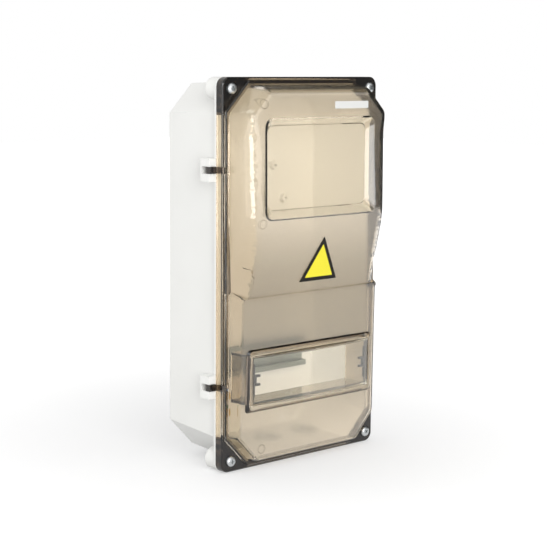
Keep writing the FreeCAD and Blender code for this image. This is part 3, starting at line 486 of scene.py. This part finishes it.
even_faces(piece("lid", skin, [smoke_thin, smoke_thick_shaded, smoke_clear_and_painted_light, smoke_foot_shade, smoke_haze], "cover",
                 "smoked_cover", "cover"))

# ---- Cover screws ----
# Four captive pan-head screws of zinc-plated steel with a cross recess, one through each corner
# block of the cover into its brass bush.
thread = [(2.4 if n % 2 else 1.95, -5 - 0.5 * n) for n in range(26)]
screw_set("cover_screw_set",
          [(3.3, 3.75), (4.3, 3.5), (5.2, 2.8), (5.8, 1.7), (6.0, 0.6), (5.8, 0.15), (5.6, 0), (2.4, 0)]
          + thread + [(1.2, -18), (0, -18)],
          3.75, (0.62, 2.5, 2.2, 4), [(x, 94, z) for z in (200, -200) for x in (-106.5, 106.5)],
          (20, 50, -12, 35), zinc, "cover", "plated_steel", "cover_screws")

# ---- Hatch ----
# The clear window over the breakers: a bowed tray of polished polycarbonate that is pulled out
# of the collar, and two black catches that hold it.

# Clear polycarbonate: water-clear with bright edges and a slight waviness.
clear = new_material("clear_polycarbonate")
spot = add(clear, "TexCoord").outputs["Object"]
wave = add(clear, "TexNoise", {"Vector": spot, "Scale": 1 / (22 * MM), "Detail": 1.0})
relief = add(clear, "Bump", {"Strength": 0.12, "Distance": 0.15 * MM, "Height": wave.outputs["Fac"]})
skin = add(clear, "BsdfPrincipled", {"Base Color": linear("#F3F1EC"), "Roughness": 0.03, "IOR": 1.58,
                                     "Transmission Weight": 1.0, "Normal": relief.outputs["Normal"]})
through = add(clear, "BsdfTransparent", {"Color": linear("#F3F1EC")})
path = add(clear, "LightPath")
both = add(clear, "MixShader", {0: path.outputs["Is Shadow Ray"], 1: skin.outputs["BSDF"],
                                2: through.outputs["BSDF"]})
add(clear, "OutputMaterial", {"Surface": both.outputs["Shader"]})
tray = welded("hatch_window", SHARP)
for face in tray.faces:
    if abs(face.normal.z) > 0.9:
        face.material_index = 1  # the upper and lower rims, dark as painted shade
even_faces(piece("hatch_pane", tray, [clear, smoke_thick_shaded], "hatch", "clear_pane", "hatch_window"))
finish("hatch_catches", black_abs)

# ---- Plates ----
# Two plain plates of printed film stuck on the cover: a triangle with a dark border on the slope
# under the window, and a narrow white strip at the top right.


def film(name, tints, sheen):
    """Printed vinyl: even colour under a soft satin varnish."""
    vinyl = new_material(name)
    where = add(vinyl, "TexCoord").outputs["Object"]
    fleck = add(vinyl, "TexNoise", {"Vector": where, "Scale": 1 / (1.6 * MM), "Detail": 2.0})
    mixed = add(vinyl, "Mix", {0: fleck.outputs["Fac"], 6: linear(tints[0]), 7: linear(tints[1])}, data_type="RGBA")
    bumps = add(vinyl, "Bump", {"Strength": 0.05, "Distance": 0.05 * MM, "Height": fleck.outputs["Fac"]})
    surface = add(vinyl, "BsdfPrincipled", {"Base Color": mixed.outputs[2], "Roughness": 0.4, "IOR": 1.5,
                                            "Specular IOR Level": sheen, "Normal": bumps.outputs["Normal"]})
    add(vinyl, "OutputMaterial", {"Surface": surface.outputs["BSDF"]})
    return vinyl


def plate(name, layers, round_off, place, materials, slot, node):
    """Film plates with rounded corners laid on each other, each its own colour."""
    bm = bmesh.new()
    for layer, (corners, low, high) in enumerate(layers):
        sheet = bmesh.new()
        sheet.faces.new([sheet.verts.new((x * MM, -low * MM, z * MM)) for x, z in corners])
        bmesh.ops.bevel(sheet, geom=sheet.verts[:], offset=round_off * MM, offset_type="OFFSET", affect="VERTICES",
                        segments=5, profile=0.5, material=-1)
        top = bmesh.ops.extrude_face_region(sheet, geom=sheet.faces[:], use_keep_orig=True)["geom"]
        bmesh.ops.translate(sheet, verts=[g for g in top if isinstance(g, bmesh.types.BMVert)],
                            vec=(0, (low - high) * MM, 0))
        bmesh.ops.recalc_face_normals(sheet, faces=sheet.faces)
        for face in sheet.faces:
            face.material_index = layer
        bmesh.ops.transform(sheet, matrix=place, verts=sheet.verts)
        one = bpy.data.meshes.new(name + "_layer")
        sheet.to_mesh(one)
        sheet.free()
        bm.from_mesh(one)
        bpy.data.meshes.remove(one)
    return piece(name, bm, materials, "cover", slot, node)


film_yellow = film("printed_yellow_vinyl", ("#F4E62C", "#F8EE3E"), 0.4)
film_black = film("printed_black_vinyl", ("#080604", "#110D08"), 0.2)
film_white = film("plain_white_vinyl", ("#DEDEDC", "#E6E6E4"), 0.4)
SIDE = 58
THIRD = SIDE / (2 * math.sqrt(3))
triangle = [(SIDE / 2, -THIRD), (0, 2 * THIRD), (-SIDE / 2, -THIRD)]
inner = [(0.74 * x, 0.74 * z) for x, z in triangle]
SLOPE = math.atan(FALL - LIFT / (BREAK_Z - WAIST_Z))
plate("triangle_plate", [(triangle, 0.05, 0.38), (inner, 0.38, 0.48)], 1.0,
      Matrix.Translation((6 * MM, -116.65 * MM, 6 * MM)) @ Matrix.Rotation(SLOPE, 4, "X"),
      [film_black, film_yellow], "yellow_film", "sign_plate")
LEAN = math.atan2(3.5, 147.3)  # how far the upper face leans back
plate("label_strip", [([(26.5, -4), (26.5, 4), (-26.5, 4), (-26.5, -4)], 0.05, 0.45)], 0.5,
      Matrix.Translation((46 * MM, -124.03 * MM, 182 * MM)) @ Matrix.Rotation(-LEAN, 4, "X"),
      [film_white], "white_film", "label_plate")

# ---- Studio ----
# A pale floor, a white surround, soft boxes on the left and dark flags on the right that draw the
# edges of the see-through plastic.
scene = bpy.context.scene
scene.view_settings.view_transform = "Standard"

surround = bpy.data.worlds.new("white_surround")
surround.use_nodes = True
surround.node_tree.nodes.clear()
scene.world = surround
path = add(surround, "LightPath")
seen = add(surround, "Math", {0: path.outputs["Is Camera Ray"], 1: path.outputs["Is Glossy Ray"]},
           operation="MAXIMUM")
seen = add(surround, "Math", {0: seen.outputs[0], 1: path.outputs["Is Transmission Ray"]}, operation="MAXIMUM")
level = add(surround, "MapRange", {"Value": seen.outputs[0], "To Min": 0.68, "To Max": 1.0})
sky = add(surround, "Background", {"Color": linear("#FFFFFF"), "Strength": level.outputs["Result"]})
add(surround, "OutputWorld", {"Surface": sky.outputs["Background"]})

# Painted floor: plain white that keeps a soft shadow and fades into the surround further off.
paint = new_material("white_floor_paint")
path = add(paint, "LightPath")
seen = add(paint, "Math", {0: path.outputs["Is Camera Ray"], 1: path.outputs["Is Glossy Ray"]},
           operation="MAXIMUM")
spot = add(paint, "TexCoord").outputs["Object"]
far = add(paint, "VectorMath", {0: spot}, operation="LENGTH").outputs["Value"]
lift = add(paint, "MapRange", {"Value": far, "From Min": 0.15, "From Max": 0.9, "To Min": 0.34, "To Max": 0.8})
lift = add(paint, "Math", {0: lift.outputs["Result"], 1: seen.outputs[0]}, operation="MULTIPLY").outputs[0]
lift = add(paint, "Math", {0: lift, 1: path.outputs["Is Transmission Ray"]}, operation="MAXIMUM").outputs[0]
glow = add(paint, "Emission", {"Color": linear("#FFFFFF"), "Strength": lift})
matt = add(paint, "BsdfDiffuse", {"Color": linear("#CFCFCF")})
sum_up = add(paint, "AddShader", {0: glow.outputs["Emission"], 1: matt.outputs["BSDF"]})
add(paint, "OutputMaterial", {"Surface": sum_up.outputs["Shader"]})


def card(name, centre, normal, wide, high, material):
    """A flat card that stands in the studio and faces along its normal."""
    bm = bmesh.new()
    bmesh.ops.create_grid(bm, x_segments=1, y_segments=1, size=0.5)
    bmesh.ops.scale(bm, verts=bm.verts, vec=(wide, high, 1))
    turn = Vector(normal).to_track_quat("Z", "Y").to_matrix().to_4x4()
    bmesh.ops.transform(bm, matrix=Matrix.Translation(centre) @ turn, verts=bm.verts)
    mesh = bpy.data.meshes.new(name)
    bm.to_mesh(mesh)
    bm.free()
    mesh.materials.append(material)
    thing = bpy.data.objects.new(name, mesh)
    scene.collection.objects.link(thing)
    return thing


FLOOR_Z = -0.2125  # half a millimetre under the cover's lower edge
card("floor", (0, 0, FLOOR_Z), (0, 0, 1), 12, 12, paint)

# Flags are seen only by gloss and through the plastic: dark cloth behind, beside and above the right
# edge, and a grey card where the flat front faces mirror the room.
for name, level, centre, normal, wide, high in (
        ("black_flag", 0.01, (1.1, 0.9, 0.0), (-1, -0.8, 0), 1.9, 1.6),
        ("grey_flag", 0.28, (1.5, -1.65, -0.2), (-1, 1.05, 0.2), 1.3, 1.8),
        ("right_flag", 0.04, (1.75, -0.5, 0.0), (-1, 0.28, 0), 1.4, 1.8),
        ("ceiling_flag", 0.06, (1.45, 0.05, 1.35), (-1.45, -0.05, -1.35), 2.4, 2.4)):
    cloth = new_material(name + "_cloth")
    faint = add(cloth, "Emission", {"Color": linear("#FFFFFF"), "Strength": level})
    add(cloth, "OutputMaterial", {"Surface": faint.outputs["Emission"]})
    flag = card(name, centre, normal, wide, high, cloth)
    flag.visible_camera = flag.visible_diffuse = flag.visible_shadow = False


def soft_box(name, place, aim, wide, high, power):
    """A lit panel in the studio, its size in metres and its power in watts."""
    lamp = bpy.data.lights.new(name, "AREA")
    lamp.shape = "RECTANGLE"
    lamp.size, lamp.size_y = wide, high
    lamp.energy = power
    thing = bpy.data.objects.new(name, lamp)
    thing.location = place
    thing.rotation_euler = (Vector(aim) - Vector(place)).to_track_quat("-Z", "Y").to_euler()
    thing.visible_camera = False
    scene.collection.objects.link(thing)


# A broad light from the upper left, one near the lens that runs along the rounded edges, and two weak
# ones for the tub's side.
soft_box("key_box", (-1.2, -2.15, 0.95), (0, -0.06, 0), 1.8, 1.4, 28)
soft_box("fill_box", (-1.35, -2.0, 0.02), (0, -0.06, 0.1), 0.9, 0.6, 11)
soft_box("strip_box", (-1.35, -0.18, 0.0), (-0.1, -0.1, 0.0), 0.9, 1.5, 1.5)
soft_box("side_box", (-2.0, -1.1, 0.05), (0, -0.1, -0.1), 1.2, 0.5, 2)

# ---- Camera ----
# Stands to the left and a little above, as in the photograph, with a long lens.
lens = bpy.data.cameras.new("camera")
SENSOR = 36
lens.sensor_width = SENSOR
lens.lens = 1600 / 547 * SENSOR  # focal length over picture width, both in picture dots
eye = bpy.data.objects.new("camera", lens)
right = Vector((0.71828419, -0.69571814, 0.00664056))
up = Vector((0.08531945, 0.09755125, 0.99156661))
back = Vector((-0.69049867, -0.71166005, 0.12942781))
stand = Matrix((right, up, back)).transposed().to_4x4()
stand.translation = (-1.249052, -1.336809, 0.225083)
eye.matrix_world = stand
scene.collection.objects.link(eye)
scene.camera = eye
